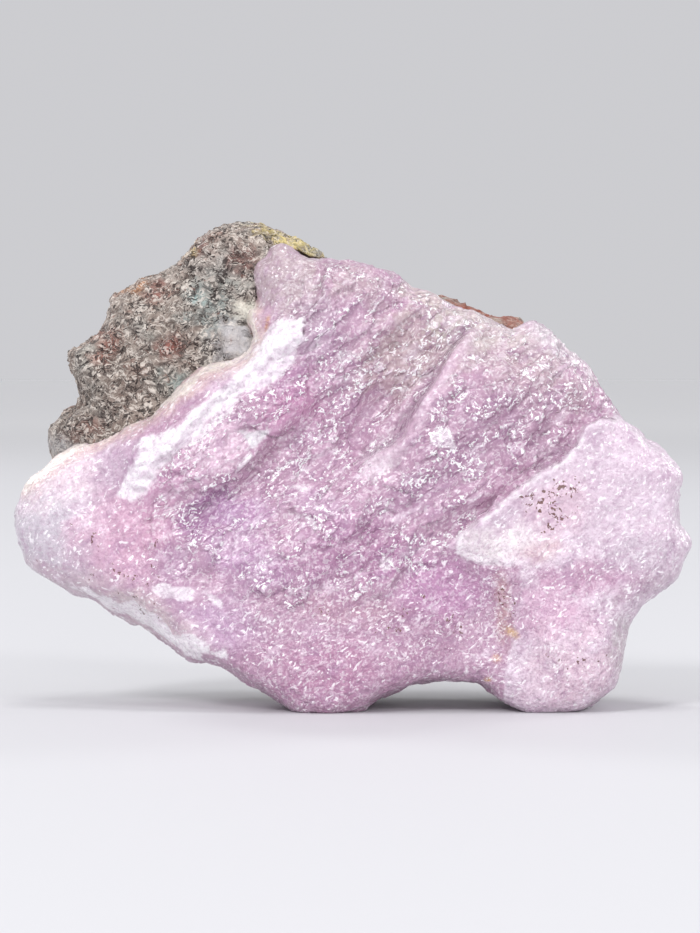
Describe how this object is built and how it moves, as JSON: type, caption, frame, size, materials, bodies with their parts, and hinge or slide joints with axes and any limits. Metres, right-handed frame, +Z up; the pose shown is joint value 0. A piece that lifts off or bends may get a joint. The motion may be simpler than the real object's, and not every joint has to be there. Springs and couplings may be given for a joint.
{
  "type": "aragonite on matrix",
  "caption": "Natural mineral specimen: a lilac aragonite mass with a broken glassy face, grown on grey-brown host rock, standing on its own worn feet.",
  "frame": {"origin": "middle of the bounding box at the level of the flat feet", "axes": "+X to the right of the display face, +Y from the display face back into the rock, +Z up"},
  "size_m": [0.1196, 0.0474, 0.0864],
  "materials": {
    "aragonite": "translucent lilac, glassy where broken, sugary elsewhere",
    "matrix": "rough, pitted, grey-brown with rusty patches"
  },
  "bodies": {
    "root": {"aragonite": "aragonite", "matrix": "matrix"}
  },
  "joints": []
}
